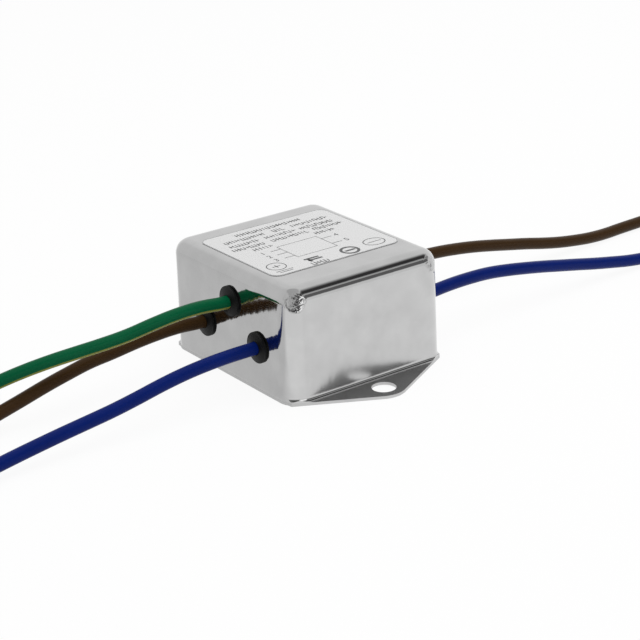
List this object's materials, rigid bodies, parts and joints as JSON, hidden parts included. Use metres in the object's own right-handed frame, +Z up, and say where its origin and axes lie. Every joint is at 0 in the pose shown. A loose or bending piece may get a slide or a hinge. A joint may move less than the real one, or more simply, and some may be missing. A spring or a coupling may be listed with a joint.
{
  "type": "mains line filter",
  "caption": "Drawn steel can with two screw ears, grommeted flying leads out of both ends, and a choke and capacitors on a board inside.",
  "frame": {"origin": "centre of the can's mouth, on the mounting surface", "axes": "+Z up from the mounting surface, +X towards the load leads, +Y through one mounting ear"},
  "size_m": [0.253, 0.058, 0.0231],
  "materials": {
    "tinned_can": "bright tin over drawn steel",
    "cover_steel": "tinned sheet, dull",
    "label_film": "satin polyester film",
    "grommet_rubber": "moulded black rubber",
    "pvc_green": "extruded PVC with a yellow stripe",
    "pvc_blue": "extruded PVC",
    "pvc_brown": "extruded PVC",
    "tinned_copper": "tinned strands",
    "fibre_sheet": "pressed insulating paper",
    "board_laminate": "phenolic paper laminate",
    "ferrite_coating": "powder-coated ferrite",
    "enamelled_wire": "enamel over copper wire",
    "divider_nylon": "moulded nylon",
    "capacitor_box": "moulded box",
    "capacitor_disc": "dipped epoxy",
    "resistor_lacquer": "baked lacquer"
  },
  "bodies": {
    "root": {"can": "tinned_can", "label": "label_film", "bottom_cover": "cover_steel", "insulating_sheet": "fibre_sheet", "circuit_board": "board_laminate", "solder_joints": "tinned_copper", "choke_core": "ferrite_coating", "choke_divider": "divider_nylon", "choke_winding_live": "enamelled_wire", "choke_winding_neutral": "enamelled_wire", "x_capacitor": "capacitor_box", "y_capacitor_live": "capacitor_disc", "y_capacitor_neutral": "capacitor_disc", "bleed_resistor": "resistor_lacquer", "earth_tab": "cover_steel", "grommet_earth_in": "grommet_rubber", "grommet_neutral_in": "grommet_rubber", "grommet_live_in": "grommet_rubber", "grommet_neutral_out": "grommet_rubber", "grommet_live_out": "grommet_rubber", "lead_earth": "pvc_green", "tip_earth": "tinned_copper", "tail_earth": "tinned_copper", "lead_neutral_in": "pvc_blue", "tip_neutral_in": "tinned_copper", "tail_neutral_in": "tinned_copper", "lead_live_in": "pvc_brown", "tip_live_in": "tinned_copper", "tail_live_in": "tinned_copper", "lead_neutral_out": "pvc_blue", "tip_neutral_out": "tinned_copper", "tail_neutral_out": "tinned_copper", "lead_live_out": "pvc_brown", "tip_live_out": "tinned_copper", "tail_live_out": "tinned_copper"}
  },
  "joints": []
}
